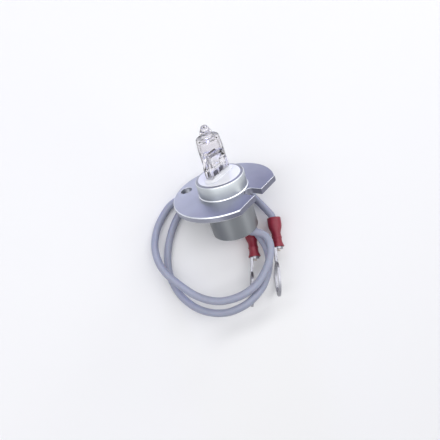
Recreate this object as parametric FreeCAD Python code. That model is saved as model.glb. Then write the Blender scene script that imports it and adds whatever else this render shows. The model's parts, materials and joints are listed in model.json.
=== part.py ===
"""Halogen lamp for an analyser's photometer, lying on a bench as it comes to rest.

A glass capsule stands in a ceramic base, in an aluminium holder with a flange.
Two insulated leads leave the holder's rear mouth and end in ring terminals.
The lamp is modelled upright on its own axis first, with the flange's front face
at height 0 and the slot on +X. It is then laid on the rims of its flange and
rear boss. Sizes are in millimetres.
"""
import FreeCAD
import Part
import math
import os

from FreeCAD import Placement, Rotation, Vector

# Holder, turned from one piece of aluminium and then milled
flange_diameter = 38.0
flange_thickness = 2.2
front_boss_diameter = 18.1
front_boss_height = 5.2
rear_boss_diameter = 17.6
rear_boss_length = 15.4
edge_break = 0.25
rim_bevel = 0.55
rim_land = 0.35
shelf_bore_diameter = 10.0
shelf_thickness = 2.0
rear_bore_diameter = 15.0

# Flat with its open slot, and the round hole, in the flange
flat_depth = 3.75
slot_width = 4.2
slot_to_boss_gap = 0.5
hole_diameter = 4.4
hole_to_rim = 3.6
hole_angle = 195.6

# Turn of the slot about the lamp's axis as the lamp lies on the bench
slot_turn = -55.0

# Ceramic base that insulates the capsule
ceramic_fit = 0.05
ceramic_proud = 0.5
ceramic_seat_depth = 1.5
ceramic_edge_round = 0.4

# Glass capsule, drawn from quartz tube, with the tip where it was sealed
capsule_diameter = 8.8
capsule_wall = 0.85
capsule_taper_length = 4.2
capsule_taper_round = 8.0
shoulder_diameter = 8.1
shoulder_height = 20.7
shoulder_round = 0.7
gas_shoulder_round = 1.4
tip_root_diameter = 4.0
tip_root_round = 0.4
tip_belly_diameter = 4.3
tip_belly_rise = 1.6
tip_belly_round = 0.9
tip_end_diameter = 1.8
tip_end_round = 0.7
tip_length = 3.93

# Pinch: the capsule's foot, pressed flat between two jaws with arched upper ends
pinch_width = 10.4
pinch_foot_height = 2.2
pinch_rail_thickness = 2.7
pinch_rail_width = 1.3
pinch_web_thickness = 1.9
pinch_window_drop = 1.8
pinch_window_round = 3.0
pinch_ear_drop = 1.7
pinch_ear_rise = 3.7
press_height = 12.2
press_arch_rise = 2.8
press_overlap = 0.2
press_slope = 1.0
press_floor_rise = 1.2

# Cement that holds the pinch in the ceramic base
cement_gap = 0.6
cement_mound_height = 1.0
cement_mound_spread = 0.9

# Current path inside the capsule and down through the base
filament_rise = 1.5
filament_length = 3.8
filament_diameter = 0.7
filament_turns = 9
groove_depth = 0.1
leg_diameter = 0.25
leg_hook_round = 0.15
conductor_spacing = 3.2
foil_width = 2.3
foil_thickness = 0.1
foil_low_height = 5.6
foil_high_height = 8.3
pin_diameter = 0.8
pin_hole_clearance = 0.1
pin_low_height = -4.6
splice_diameter = 2.4
splice_high_height = -3.6
splice_length = 5.2
bare_root_gap = 0.8

# Cement plug around the joints in the rear boss
plug_recess = 1.6

# Leads
lead_diameter = 2.8
core_diameter = 1.5
root_run = 3.0
arc_share = 0.45

# Ring terminals with vinyl sleeves, crimped on the leads
ring_diameter = 13.4
ring_hole_diameter = 10.5
plate_thickness = 0.9
terminal_length = 30.4
neck_width = 3.4
neck_lap = 0.6
neck_round = 1.6
barrel_diameter = 3.5
barrel_length = 7.8
barrel_show = 0.8
crimp_thickness = 2.5
crimp_height = 4.2
barrel_seam = 0.3
crimp_inset = 2.0
crimp_length = 2.8
sleeve_length = 11.6
sleeve_entry_diameter = 5.4
sleeve_bell_wall = 0.4
sleeve_wall_at_crimp = 0.7
sleeve_ridge_height = 0.2
sleeve_ridge_width = 0.8
sleeve_flare_thickness = 4.7
sleeve_flare_height = 5.2
strip_depth = 3.6
strand_show = 0.5

# How the two terminals lie on the bench, each by the mouth of its sleeve
terminal_heading = -106.5
terminal_lean = 6.0
right_entry = (15.8, -17.8)
right_pitch = 6.6
right_tongue_bend = 4.0
left_entry = (5.8, -17.7)
left_pitch = 8.4
left_tongue_bend = 8.0

# Where each lead crosses the rear mouth, on the upright lamp
right_mouth = Vector(4.46, -0.43, -18.2)
left_mouth = Vector(2.92, 3.82, -17.0)

# Route of each lead from the mouth to its terminal, on the bench
right_route = [
    (8.3, -21.6, 12.0),
    (9.0, -26.2, 12.4),
    (6.2, -31.2, 13.4),
    (0.9, -35.6, 15.2),
    (-4.0, -37.9, 17.3),
    (-10.3, -38.9, 17.3),
    (-17.5, -37.9, 14.6),
    (-23.7, -33.6, 11.2),
    (-28.4, -26.4, 8.2),
    (-32.0, -19.1, 7.2),
    (-31.8, -11.0, 4.6),
    (-28.0, -4.0, 2.2),
    (-22.6, 0.8, 1.4),
    (-18.4, 3.3, 1.4),
    (-10.6, 3.9, 1.4),
    (-2.6, 3.4, 1.4),
    (5.4, 1.4, 1.4),
    (11.2, -4.0, 1.6),
    (13.5, -10.4, 2.6),
    (14.8, -14.2, 3.5),
]
left_route = [
    (6.8, -21.7, 8.3),
    (7.8, -27.7, 8.3),
    (5.9, -33.9, 9.2),
    (0.5, -39.1, 12.6),
    (-4.5, -41.1, 15.9),
    (-9.5, -42.7, 15.7),
    (-16.3, -43.0, 12.6),
    (-22.8, -40.2, 9.0),
    (-27.6, -35.1, 5.2),
    (-30.2, -28.1, 2.2),
    (-30.0, -20.1, 1.4),
    (-26.7, -12.1, 1.4),
    (-21.5, -5.2, 1.4),
    (-16.6, -1.1, 1.4),
    (-12.2, 0.0, 1.4),
    (-5.0, -1.4, 1.4),
    (2.2, -2.4, 1.4),
    (7.4, -5.2, 1.4),
    (9.5, -9.8, 1.4),
    (8.6, -14.4, 2.2),
]

# Places nearer together than this are the same place
same_place = 0.001

# Radii and heights that follow from the sizes above
flange_radius = flange_diameter / 2
front_radius = front_boss_diameter / 2
rear_radius = rear_boss_diameter / 2
rear_height = -flange_thickness - rear_boss_length
flat_distance = flange_radius - flat_depth
hole_circle_radius = flange_radius - hole_to_rim
seat_radius = front_radius - rim_land - rim_bevel - edge_break
ceramic_radius = seat_radius - ceramic_fit
ceramic_top = front_boss_height + ceramic_proud
shelf_radius = shelf_bore_diameter / 2
rear_bore_radius = rear_bore_diameter / 2
shelf_low = -ceramic_seat_depth - shelf_thickness
capsule_radius = capsule_diameter / 2
press_half_width = capsule_radius + press_overlap
capsule_foot_height = press_height - press_arch_rise - press_overlap
gas_floor_height = press_height + press_floor_rise
filament_height = gas_floor_height + filament_rise
cement_top = ceramic_top + cement_mound_height
pocket_floor = pinch_foot_height - cement_gap
root_height = splice_high_height - splice_length - bare_root_gap
plug_face = rear_height + plug_recess
lead_radius = lead_diameter / 2
core_radius = core_diameter / 2
ring_radius = ring_diameter / 2
ring_place = terminal_length - ring_radius
barrel_end = sleeve_length + barrel_show
barrel_start = barrel_end - barrel_length
crimp_start = barrel_start + crimp_inset
crimp_end = crimp_start + crimp_length
plate_offset = (barrel_diameter - plate_thickness) / 2


def corner_arc(before, corner, after, radius):
    """Return the start, middle and end of the arc that rounds one corner."""
    back = (before - corner).normalize()
    ahead = (after - corner).normalize()
    half_angle = back.getAngle(ahead) / 2
    reach = radius / math.tan(half_angle)
    start = corner + back * reach
    end = corner + ahead * reach
    bisector = (back + ahead).normalize()
    middle = corner + bisector * (radius / math.sin(half_angle) - radius)
    return start, middle, end


def rounded_wire(points, radii):
    """Return a wire along points, with an arc at each corner that has a radius."""
    edges = []
    position = points[0]
    for index in range(1, len(points) - 1):
        corner = points[index]
        if radii[index] > 0:
            start, middle, end = corner_arc(points[index - 1], corner, points[index + 1], radii[index])
            edges.append(Part.LineSegment(position, start).toShape())
            edges.append(Part.Arc(start, middle, end).toShape())
            position = end
        else:
            edges.append(Part.LineSegment(position, corner).toShape())
            position = corner
    edges.append(Part.LineSegment(position, points[-1]).toShape())
    return Part.Wire(edges)


def turned(corners):
    """Revolve corners of (radius, height, rounding) about the lamp's axis."""
    points = [Vector(radius, 0, height) for radius, height, rounding in corners]
    radii = [rounding for radius, height, rounding in corners]
    outline = rounded_wire(points + [points[0]], radii + [0])
    return Part.Face(outline).revolve(Vector(0, 0, 0), Vector(0, 0, 1), 360)


def cylinder(radius, low, high, x=0.0, y=0.0):
    """Return an upright cylinder between two heights."""
    return Part.makeCylinder(radius, high - low, Vector(x, y, low))


def block(width_x, width_y, low, high, y=0.0):
    """Return an upright block centred on X = 0 and the given Y."""
    corner = Vector(-width_x / 2, y - width_y / 2, low)
    return Part.makeBox(width_x, width_y, high - low, corner)


def make_holder():
    """Aluminium holder: flange, front boss and hollow rear boss."""
    body = turned([
        (shelf_radius, shelf_low, 0),
        (rear_bore_radius, shelf_low, 0),
        (rear_bore_radius, rear_height + edge_break, 0),
        (rear_bore_radius + edge_break, rear_height, 0),
        (rear_radius - edge_break, rear_height, 0),
        (rear_radius, rear_height + edge_break, 0),
        (rear_radius, -flange_thickness, 0),
        (flange_radius - edge_break, -flange_thickness, 0),
        (flange_radius, -flange_thickness + edge_break, 0),
        (flange_radius, -edge_break, 0),
        (flange_radius - edge_break, 0, 0),
        (front_radius + edge_break, 0, 0),
        (front_radius, edge_break, 0),
        (front_radius, front_boss_height - edge_break, 0),
        (front_radius - edge_break, front_boss_height, 0),
        (front_radius - edge_break - rim_land, front_boss_height, 0),
        (seat_radius, front_boss_height - rim_bevel, 0),
        (seat_radius, -ceramic_seat_depth, 0),
        (shelf_radius, -ceramic_seat_depth, 0),
    ])
    low = -flange_thickness
    beyond = flange_radius - flat_distance
    flat_cut = Part.makeBox(
        beyond, flange_diameter, flange_thickness, Vector(flat_distance, -flange_radius, low))
    slot_end = front_radius + slot_to_boss_gap + slot_width / 2
    slot_cut = Part.makeBox(
        flange_radius - slot_end, slot_width, flange_thickness, Vector(slot_end, -slot_width / 2, low))
    slot_round = cylinder(slot_width / 2, low, 0, x=slot_end)
    hole_x = hole_circle_radius * math.cos(math.radians(hole_angle))
    hole_y = hole_circle_radius * math.sin(math.radians(hole_angle))
    hole = cylinder(hole_diameter / 2, low, 0, x=hole_x, y=hole_y)
    return body.cut([flat_cut, slot_cut, slot_round, hole])


def make_ceramic():
    """Ceramic base: a disc with a pocket for the pinch and a hole for each pin."""
    body = turned([
        (0, -ceramic_seat_depth, 0),
        (ceramic_radius, -ceramic_seat_depth, 0),
        (ceramic_radius, ceramic_top, ceramic_edge_round),
        (0, ceramic_top, 0),
    ])
    pocket = pocket_shape(pocket_floor, ceramic_top)
    hole_radius = pin_diameter / 2 + pin_hole_clearance
    holes = [cylinder(hole_radius, -ceramic_seat_depth, pocket_floor, y=y) for y in conductor_sides()]
    return body.cut([pocket] + holes)


def conductor_sides():
    """Return the Y of the two conductors, lower side first."""
    return [-conductor_spacing / 2, conductor_spacing / 2]


def oval(length, width, height):
    """Return a round-ended outline around the axis, long way along Y."""
    half_run = (length - width) / 2
    radius = width / 2
    edges = [
        Part.LineSegment(Vector(radius, -half_run, height), Vector(radius, half_run, height)),
        Part.Arc(
            Vector(radius, half_run, height),
            Vector(0, half_run + radius, height),
            Vector(-radius, half_run, height)),
        Part.LineSegment(Vector(-radius, half_run, height), Vector(-radius, -half_run, height)),
        Part.Arc(
            Vector(-radius, -half_run, height),
            Vector(0, -half_run - radius, height),
            Vector(radius, -half_run, height)),
    ]
    return Part.Wire([edge.toShape() for edge in edges])


def pocket_shape(low, high):
    """Return the round-ended pocket that takes the pinch and its cement."""
    length = pinch_width + 2 * cement_gap
    width = pinch_rail_thickness + 2 * cement_gap
    return Part.Face(oval(length, width, low)).extrude(Vector(0, 0, high - low))


def make_capsule_cement():
    """Cement in the pocket, heaped in a low mound around the pinch."""
    fill = pocket_shape(pocket_floor, ceramic_top)
    top_length = pinch_width + cement_gap
    top_width = pinch_rail_thickness + cement_gap
    foot = oval(top_length + 2 * cement_mound_spread, top_width + 2 * cement_mound_spread, ceramic_top)
    crown = oval(top_length, top_width, cement_top)
    mound = Part.makeLoft([foot, crown], True)
    pins = [cylinder(pin_diameter / 2, pocket_floor, pinch_foot_height, y=y) for y in conductor_sides()]
    return fill.fuse(mound).cut([make_pinch()] + pins)


def make_pinch():
    """Pressed foot of the capsule: a web between two rails, with an arched window on each face."""
    half_width = pinch_width / 2
    ear_height = press_height - pinch_ear_drop
    ear_half_width = capsule_radius - capsule_wall / 2
    outline = Part.makePolygon([
        Vector(0, -half_width, pinch_foot_height),
        Vector(0, half_width, pinch_foot_height),
        Vector(0, half_width, ear_height),
        Vector(0, ear_half_width, ear_height + pinch_ear_rise),
        Vector(0, -ear_half_width, ear_height + pinch_ear_rise),
        Vector(0, -half_width, ear_height),
        Vector(0, -half_width, pinch_foot_height),
    ])
    slab = Part.Face(outline).extrude(Vector(pinch_rail_thickness, 0, 0))
    slab.translate(Vector(-pinch_rail_thickness / 2, 0, 0))
    window_half_width = half_width - pinch_rail_width
    window_top = press_height - pinch_window_drop
    corners = [
        Vector(0, 0, pinch_foot_height),
        Vector(0, window_half_width, pinch_foot_height),
        Vector(0, window_half_width, window_top),
        Vector(0, -window_half_width, window_top),
        Vector(0, -window_half_width, pinch_foot_height),
        Vector(0, 0, pinch_foot_height),
    ]
    window = Part.Face(rounded_wire(corners, [0, 0, pinch_window_round, pinch_window_round, 0, 0]))
    windows = []
    for side in (-1, 1):
        recess = window.extrude(Vector(side * pinch_rail_thickness, 0, 0))
        recess.translate(Vector(side * pinch_web_thickness / 2, 0, 0))
        windows.append(recess)
    return slab.cut(windows)


def arch(x, lift):
    """Return the outline of a jaw's arched end, at that X and lifted so far."""
    spring = press_height - press_arch_rise + lift
    low_near = Vector(x, -press_half_width, pinch_foot_height)
    near = Vector(x, -press_half_width, spring)
    top = Vector(x, 0, press_height + lift)
    far = Vector(x, press_half_width, spring)
    low_far = Vector(x, press_half_width, pinch_foot_height)
    edges = [
        Part.LineSegment(low_near, near),
        Part.Arc(near, top, far),
        Part.LineSegment(far, low_far),
        Part.LineSegment(low_far, low_near),
    ]
    return Part.Wire([edge.toShape() for edge in edges])


def make_jaw(side):
    """Return the space that one jaw presses out of the round tube."""
    at_face = arch(side * pinch_rail_thickness / 2, 0)
    outside = arch(side * pinch_width / 2, press_slope)
    return Part.makeLoft([at_face, outside], True, True)


def make_gas_space():
    """Return the space inside the capsule, down to the arched floor over the pinch."""
    radius = capsule_radius - capsule_wall
    top = shoulder_height - capsule_wall
    inside = turned([
        (0, capsule_foot_height, 0),
        (radius, capsule_foot_height, 0),
        (radius, shoulder_height - capsule_taper_length, 0),
        (shoulder_diameter / 2 - capsule_wall, top, gas_shoulder_round),
        (0, top, 0),
    ])
    below = Part.Face(arch(-capsule_radius, press_floor_rise)).extrude(Vector(capsule_diameter, 0, 0))
    return inside.cut(below)


def make_capsule(inner_pieces):
    """Glass capsule with its gas space, pinch and sealed tip."""
    tip_height = shoulder_height + tip_length
    outside = turned([
        (0, capsule_foot_height, 0),
        (capsule_radius, capsule_foot_height, 0),
        (capsule_radius, shoulder_height - capsule_taper_length, capsule_taper_round),
        (shoulder_diameter / 2, shoulder_height, shoulder_round),
        (tip_root_diameter / 2, shoulder_height, tip_root_round),
        (tip_belly_diameter / 2, shoulder_height + tip_belly_rise, tip_belly_round),
        (tip_end_diameter / 2, tip_height, tip_end_round),
        (0, tip_height, 0),
    ])
    pressed = outside.cut([make_jaw(-1), make_jaw(1)])
    return pressed.fuse(make_pinch()).cut([make_gas_space()] + inner_pieces).removeSplitter()


def make_filament():
    """Coiled filament across the capsule, one groove between turns."""
    pitch = filament_length / filament_turns
    radius = filament_diameter / 2
    start = -filament_length / 2
    points = [Vector(0, start, 0)]
    for turn in range(filament_turns):
        points.append(Vector(radius - groove_depth, start + turn * pitch, 0))
        points.append(Vector(radius, start + turn * pitch + pitch / 2, 0))
    points.append(Vector(radius - groove_depth, start + filament_length, 0))
    points.append(Vector(0, start + filament_length, 0))
    points.append(points[0])
    coil = Part.Face(Part.makePolygon(points)).revolve(Vector(0, 0, 0), Vector(0, 1, 0), 360)
    coil.translate(Vector(0, 0, filament_height))
    return coil


def make_leg(side):
    """Wire from the top of a foil to the end of the filament."""
    foil_y = side * conductor_spacing / 2
    end_y = side * filament_length / 2
    outward = end_y + side * leg_diameter
    points = [
        Vector(0, foil_y, foil_high_height),
        Vector(0, foil_y, gas_floor_height),
        Vector(0, outward, filament_height - filament_diameter),
        Vector(0, outward, filament_height),
        Vector(0, end_y, filament_height),
    ]
    path = rounded_wire(points, [0, leg_diameter, leg_diameter, leg_hook_round, 0])
    return swept_round(path, leg_diameter / 2, points[0], Vector(0, 0, 1))


def swept_round(path, radius, start, direction):
    """Sweep a circle along a wire that starts at start in the given direction."""
    circle = Part.Wire(Part.Circle(start, direction, radius).toShape())
    return path.makePipeShell([circle], True, False)


def make_foil(y):
    """Molybdenum foil sealed in the pinch."""
    return block(foil_thickness, foil_width, foil_low_height, foil_high_height, y=y)


def make_pin(y):
    """Pin from the foil down through the ceramic base."""
    return cylinder(pin_diameter / 2, pin_low_height, foil_low_height, y=y)


def make_splice(y):
    """Crimped tube that joins a pin to the bare end of a lead."""
    low = splice_high_height - splice_length
    body = cylinder(splice_diameter / 2, low, splice_high_height, y=y)
    pin_bore = cylinder(pin_diameter / 2, pin_low_height, splice_high_height, y=y)
    core_bore = cylinder(core_radius, low, pin_low_height, y=y)
    return body.cut([pin_bore, core_bore])


def make_bare_root(y):
    """Bare end of a lead's conductor, in the splice."""
    return cylinder(core_radius, root_height, pin_low_height, y=y)


def make_plug():
    """Cement plug that fills the holder behind the ceramic base."""
    throat = cylinder(shelf_radius, shelf_low, -ceramic_seat_depth)
    fill = cylinder(rear_bore_radius, plug_face, shelf_low)
    return throat.fuse(fill).removeSplitter()


def section(along, thickness, height):
    """Return an oval section of a terminal, square to its length."""
    centre = Vector(along, 0, 0)
    top = Vector(along, 0, height / 2)
    flank = Vector(along, thickness / 2, 0)
    return Part.Wire(Part.Ellipse(top, flank, centre).toShape())


def lengthwise_cylinder(radius, start, end):
    """Return a cylinder along a terminal's length."""
    return Part.makeCylinder(radius, end - start, Vector(start, 0, 0), Vector(1, 0, 0))


def make_barrel():
    """Barrel of a ring terminal, pressed flatter at its crimp."""
    sections = [
        section(barrel_start, barrel_diameter, barrel_diameter),
        section(crimp_start, crimp_thickness, crimp_height),
        section(crimp_end, crimp_thickness, crimp_height),
        section(barrel_end, barrel_diameter, barrel_diameter),
    ]
    return Part.makeLoft(sections, True, True)


def make_strands():
    """Bare strands of a lead, through the barrel and just out of it."""
    return lengthwise_cylinder(core_radius, strip_depth, barrel_end + strand_show)


def make_plate():
    """Neck and ring of a terminal, flat, with a round in each corner between them."""
    low = -plate_offset - plate_thickness / 2
    neck_start = barrel_end - neck_lap
    neck = Part.makeBox(
        ring_place - neck_start, plate_thickness, neck_width, Vector(neck_start, low, -neck_width / 2))
    centre = Vector(ring_place, low, 0)
    sideways = Vector(0, 1, 0)
    disc = Part.makeCylinder(ring_radius, plate_thickness, centre, sideways)
    hole = Part.makeCylinder(ring_hole_diameter / 2, plate_thickness, centre, sideways)
    plate = neck.fuse(disc).cut(hole).removeSplitter()
    neck_end = ring_place - math.sqrt(ring_radius ** 2 - (neck_width / 2) ** 2)
    corners = [Part.Vertex(neck_end, -plate_offset, side * neck_width / 2) for side in (-1, 1)]
    edges = [edge for edge in plate.Edges for corner in corners if corner.distToShape(edge)[0] < same_place]
    return plate.makeFillet(neck_round, edges)


def make_ring_terminal(tongue_bend):
    """Ring terminal: a rolled barrel with its seam, and the bent tongue."""
    plate = make_plate()
    plate.rotate(Vector(barrel_end, -plate_offset, 0), Vector(0, 0, 1), -tongue_bend)
    seam = Part.makeBox(
        barrel_length, barrel_diameter / 2, barrel_seam, Vector(barrel_start, 0, -barrel_seam / 2))
    return make_barrel().fuse(plate).cut([make_strands(), seam])


def make_sleeve():
    """Vinyl sleeve over the barrel: a bell, two crimp bands with a ridge between, and a flared nose."""
    thickness = crimp_thickness + 2 * sleeve_wall_at_crimp
    height = crimp_height + 2 * sleeve_wall_at_crimp
    ridge = 2 * sleeve_ridge_height
    ridge_place = (crimp_start + crimp_end) / 2
    sections = [
        section(0, sleeve_entry_diameter, sleeve_entry_diameter),
        section(barrel_start, sleeve_entry_diameter, sleeve_entry_diameter),
        section(crimp_start, thickness, height),
        section(ridge_place - sleeve_ridge_width / 2, thickness, height),
        section(ridge_place, thickness + ridge, height + ridge),
        section(ridge_place + sleeve_ridge_width / 2, thickness, height),
        section(crimp_end, thickness, height),
        section(sleeve_length, sleeve_flare_thickness, sleeve_flare_height),
    ]
    outside = Part.makeLoft(sections, True, True)
    bell = lengthwise_cylinder(sleeve_entry_diameter / 2 - sleeve_bell_wall, 0, barrel_start)
    return outside.cut([bell, make_barrel()])


def terminal_placement(entry, pitch, tongue_bend):
    """Return the placement that stands a terminal's ring on the bench."""
    turn = Rotation(terminal_heading, -pitch, terminal_lean)
    bend = Rotation(Vector(0, 0, 1), -tongue_bend)
    hinge = Vector(barrel_end, -plate_offset, 0)
    centre = hinge + bend.multVec(Vector(ring_place - barrel_end, 0, 0))
    tilt = abs(turn.multVec(bend.multVec(Vector(0, 1, 0))).z)
    rise = ring_radius * math.sqrt(1 - tilt ** 2) + plate_thickness / 2 * tilt
    return Placement(Vector(entry[0], entry[1], rise - turn.multVec(centre).z), turn)


def lead_points(side, mouth, route, lamp_place, terminal_place):
    """Return a lead's whole route on the bench, from its splice to its crimp."""
    root_y = side * conductor_spacing / 2
    root = Vector(0, root_y, root_height)
    inside = [root, root - Vector(0, 0, root_run), mouth]
    entry = [Vector(0, 0, 0), Vector(strip_depth, 0, 0)]
    points = [lamp_place.multVec(point) for point in inside]
    points += [Vector(*point) for point in route]
    points += [terminal_place.multVec(point) for point in entry]
    return points


def make_lead(node, points):
    """Insulated lead: straight runs through its route, joined by tangent arcs."""
    radii = [0]
    for index in range(1, len(points) - 1):
        before = points[index - 1] - points[index]
        after = points[index + 1] - points[index]
        reach = arc_share * min(before.Length, after.Length)
        radii.append(reach * math.tan(before.getAngle(after) / 2))
    radii.append(0)
    path = rounded_wire(points, radii)
    lead = swept_round(path, lead_radius, points[0], points[1] - points[0])
    expected = math.pi * lead_radius ** 2 * path.Length
    print(node, "points", [tuple(round(value, 2) for value in point) for point in points])
    print(node, "radii", [round(radius, 1) for radius in radii[1:-1]])
    print(node, "length", round(path.Length, 1), "volume ratio", round(lead.Volume / expected, 4))
    return lead


def lay_down():
    """Return the placement that rests the upright lamp on its two rims."""
    rest = math.atan2(flange_radius - rear_radius, rear_boss_length)
    spin = Rotation(Vector(0, 0, 1), slot_turn)
    tip_over = Rotation(Vector(1, 0, 0), math.degrees(rest) - 90)
    height = flange_radius * math.cos(rest) + (flange_thickness - edge_break) * math.sin(rest)
    return Placement(Vector(0, 0, height), tip_over.multiply(spin))


def place_lamp(pieces):
    """Lay the lamp's pieces down, centred over the origin, and return how."""
    laid = Part.makeCompound(list(pieces.values()))
    laid.Placement = lay_down()
    box = laid.optimalBoundingBox(False, False)
    print("lamp box", box)
    centring = Placement(Vector(-box.Center.x, -box.Center.y, 0), Rotation())
    placement = centring.multiply(laid.Placement)
    for shape in pieces.values():
        shape.Placement = placement.multiply(shape.Placement)
    return placement


def save(node, shape):
    """Write one node's STEP file."""
    shape.exportStep("parts/" + node + ".step")
    print(node, "volume", round(shape.Volume, 3), "valid", shape.isValid(), "solids", len(shape.Solids))


def main():
    """Build every piece and write it."""
    os.makedirs("parts", exist_ok=True)
    pieces = {
        "lamp_holder": make_holder(),
        "ceramic_base": make_ceramic(),
        "capsule_cement": make_capsule_cement(),
        "cement_plug": make_plug(),
        "filament": make_filament(),
    }
    sides = (("right", -1), ("left", 1))
    sealed = []
    buried = []
    for name, side in sides:
        y = side * conductor_spacing / 2
        leg, foil, pin = make_leg(side), make_foil(y), make_pin(y)
        splice, root = make_splice(y), make_bare_root(y)
        pieces["filament_leg_" + name] = leg
        pieces["seal_foil_" + name] = foil
        pieces["contact_pin_" + name] = pin
        pieces["splice_tube_" + name] = splice
        pieces["bare_root_" + name] = root
        sealed += [leg, foil, pin]
        buried += [pin, splice, root]
    pieces["glass_capsule"] = make_capsule(sealed)
    lamp_place = place_lamp(pieces)

    lying = {
        "right": (right_mouth, right_route, right_entry, right_pitch, right_tongue_bend),
        "left": (left_mouth, left_route, left_entry, left_pitch, left_tongue_bend),
    }
    for name, side in sides:
        mouth, route, entry, pitch, tongue_bend = lying[name]
        terminal_place = terminal_placement(entry, pitch, tongue_bend)
        fittings = {
            "strand_end_" + name: make_strands(),
            "terminal_sleeve_" + name: make_sleeve(),
            "ring_terminal_" + name: make_ring_terminal(tongue_bend),
        }
        for node, shape in fittings.items():
            shape.Placement = terminal_place.multiply(shape.Placement)
        points = lead_points(side, mouth, route, lamp_place, terminal_place)
        lead = make_lead("lead_" + name, points)
        pieces["lead_" + name] = lead
        pieces.update(fittings)
        buried.append(lead)
    pieces["cement_plug"] = pieces["cement_plug"].cut(buried)
    for node, shape in pieces.items():
        save(node, shape)


main()
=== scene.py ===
"""Dresses the analyser's halogen lamp in its real finishes, on a pale bench.

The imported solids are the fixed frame, in metres. Each class below holds one
sub-assembly: its sizes as fields in millimetres, and the methods that model its
pieces and give them their finish. Turned and pressed pieces are modelled upright
in their own frame and then laid down where the frame's mounts say.
"""

import json
import logging
import math
from collections.abc import Callable
from dataclasses import dataclass
from enum import Enum

import bpy
from mathutils import Matrix, Vector


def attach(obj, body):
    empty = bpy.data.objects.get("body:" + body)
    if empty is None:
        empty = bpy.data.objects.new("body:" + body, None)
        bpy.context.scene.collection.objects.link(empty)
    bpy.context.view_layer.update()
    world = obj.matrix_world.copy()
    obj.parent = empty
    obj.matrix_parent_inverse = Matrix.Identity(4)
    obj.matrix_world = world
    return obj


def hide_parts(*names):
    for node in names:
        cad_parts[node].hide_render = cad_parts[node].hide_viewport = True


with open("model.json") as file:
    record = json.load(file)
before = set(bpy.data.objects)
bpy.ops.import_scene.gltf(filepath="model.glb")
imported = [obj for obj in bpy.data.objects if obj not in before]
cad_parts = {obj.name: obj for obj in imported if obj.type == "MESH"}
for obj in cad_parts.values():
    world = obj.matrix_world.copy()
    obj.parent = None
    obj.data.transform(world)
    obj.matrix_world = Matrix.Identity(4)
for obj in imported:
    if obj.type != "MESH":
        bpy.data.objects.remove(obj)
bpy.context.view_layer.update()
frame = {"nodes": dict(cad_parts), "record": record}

log = logging.getLogger("lamp")

MM = 0.001
MERGE = 0.0005  # doubles nearer than this are merged, in millimetres
PICK = 0.01  # a face or edge this near to a place is picked, in millimetres
BODY = "root"


class Side(Enum):
    """The two conductors, named for where their terminals lie."""

    RIGHT = "right"
    LEFT = "left"


def linear(hex_colour: str) -> tuple[float, float, float, float]:
    """Turn an sRGB hex colour into linear light.

    Args:
        hex_colour: Colour as "#rrggbb".

    Returns:
        Red, green, blue and alpha, as shaders read them.
    """
    channels = [int(hex_colour[start:start + 2], 16) / 255 for start in (1, 3, 5)]
    lit = [c / 12.92 if c <= 0.04045 else ((c + 0.055) / 1.055) ** 2.4 for c in channels]
    return (lit[0], lit[1], lit[2], 1.0)


def feed(tree: bpy.types.NodeTree, node: bpy.types.Node, inputs: dict) -> None:
    """Set or link a node's inputs.

    Args:
        tree: Tree that holds the node.
        node: The node.
        inputs: Value or output socket for each input, by name or number.
    """
    for name, value in inputs.items():
        socket = node.inputs[name]
        if isinstance(value, bpy.types.NodeSocket):
            tree.links.new(value, socket)
        else:
            socket.default_value = value


def add_node(
    tree: bpy.types.NodeTree, kind: str, inputs: dict | None = None, **settings: object
) -> bpy.types.Node:
    """Add one shader node with its settings, values and links.

    Args:
        tree: Material or world tree that takes the node.
        kind: Blender's name of the node type.
        inputs: Value or output socket for each input, by name or number.
        **settings: Attributes of the node itself.

    Returns:
        The new node.
    """
    node = tree.nodes.new(kind)
    for name, value in settings.items():
        setattr(node, name, value)
    feed(tree, node, inputs or {})
    return node


def surface_point(tree: bpy.types.NodeTree) -> bpy.types.NodeSocket:
    """Return the point on the surface, in metres, in the frame's own axes."""
    return add_node(tree, "ShaderNodeTexCoord").outputs["Object"]


def noise(
    tree: bpy.types.NodeTree, point: bpy.types.NodeSocket, size_mm: float, detail: float = 3.0
) -> bpy.types.NodeSocket:
    """Add a cloudy pattern.

    Args:
        tree: The material's nodes.
        point: Place on the surface.
        size_mm: About how wide its patches are, in millimetres.
        detail: How many finer layers it has.

    Returns:
        The pattern, from 0 to 1.
    """
    pattern = add_node(
        tree, "ShaderNodeTexNoise", {"Vector": point, "Scale": 1 / (size_mm * MM), "Detail": detail})
    return pattern.outputs["Fac"]


def vary(
    tree: bpy.types.NodeTree, pattern: bpy.types.NodeSocket, low: float, high: float
) -> bpy.types.NodeSocket:
    """Return a pattern from 0 to 1 spread over a range of values."""
    ranged = add_node(tree, "ShaderNodeMapRange", {"Value": pattern, "To Min": low, "To Max": high})
    return ranged.outputs["Result"]


def relief(
    tree: bpy.types.NodeTree, height: bpy.types.NodeSocket, depth_mm: float
) -> bpy.types.NodeSocket:
    """Return the normals of a surface with a pattern's relief, so many millimetres deep."""
    bump = add_node(tree, "ShaderNodeBump", {"Height": height, "Distance": depth_mm * MM})
    return bump.outputs["Normal"]


def mix_colours(
    tree: bpy.types.NodeTree, factor: bpy.types.NodeSocket, first: object, second: object
) -> bpy.types.NodeSocket:
    """Mix two colours.

    Args:
        tree: The material's nodes.
        factor: 0 for the first colour, 1 for the second.
        first: Linear colour, or a socket that gives one.
        second: Likewise.

    Returns:
        The mixed colour.
    """
    mixed = add_node(
        tree, "ShaderNodeMix", {"Factor": factor, "A": first, "B": second}, data_type="RGBA")
    return mixed.outputs["Result"]


def deselect_all() -> None:
    """Leave nothing selected, so that the next operator acts on its own piece."""
    bpy.ops.object.select_all(action="DESELECT")


def activate(piece: bpy.types.Object) -> None:
    """Make one piece the only one that operators act on.

    Args:
        piece: Any object of the scene.
    """
    deselect_all()
    piece.select_set(True)
    bpy.context.view_layer.objects.active = piece


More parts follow.
